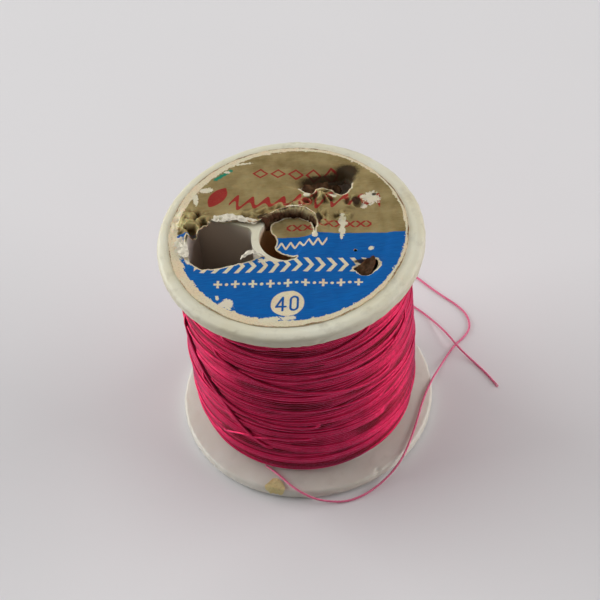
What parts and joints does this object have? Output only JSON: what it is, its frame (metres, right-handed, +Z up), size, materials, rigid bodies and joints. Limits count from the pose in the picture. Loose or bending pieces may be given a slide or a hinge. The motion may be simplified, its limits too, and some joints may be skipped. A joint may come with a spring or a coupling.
{
  "type": "thread spool",
  "caption": "Part-used plastic spool of pink sewing thread, with a torn blue and gold paper label and a loose thread end.",
  "frame": {"origin": "centre of the spool's underside, on the surface that it stands on", "axes": "+Z up along the spool's axis, towards the torn label; -Y towards the side where the loose thread crosses the bottom flange"},
  "size_m": [0.0406, 0.0399, 0.0316],
  "materials": {
    "cream_plastic": "aged moulded polystyrene, slightly waxy, worn at the rim",
    "printed_paper": "printed paper, worn and torn, with a dull gold and a blue field",
    "bare_paper": "aged, yellowed paper",
    "pink_thread": "twisted mercerised cotton with a soft sheen"
  },
  "bodies": {
    "root": {"barrel": "cream_plastic", "spindle_hub": "cream_plastic", "bottom_flange": "cream_plastic", "top_flange": "cream_plastic", "top_label": "printed_paper", "bottom_label": "printed_paper", "paper_scrap": "bare_paper", "thread_winding": "pink_thread", "thread_tail": "pink_thread"}
  },
  "joints": []
}
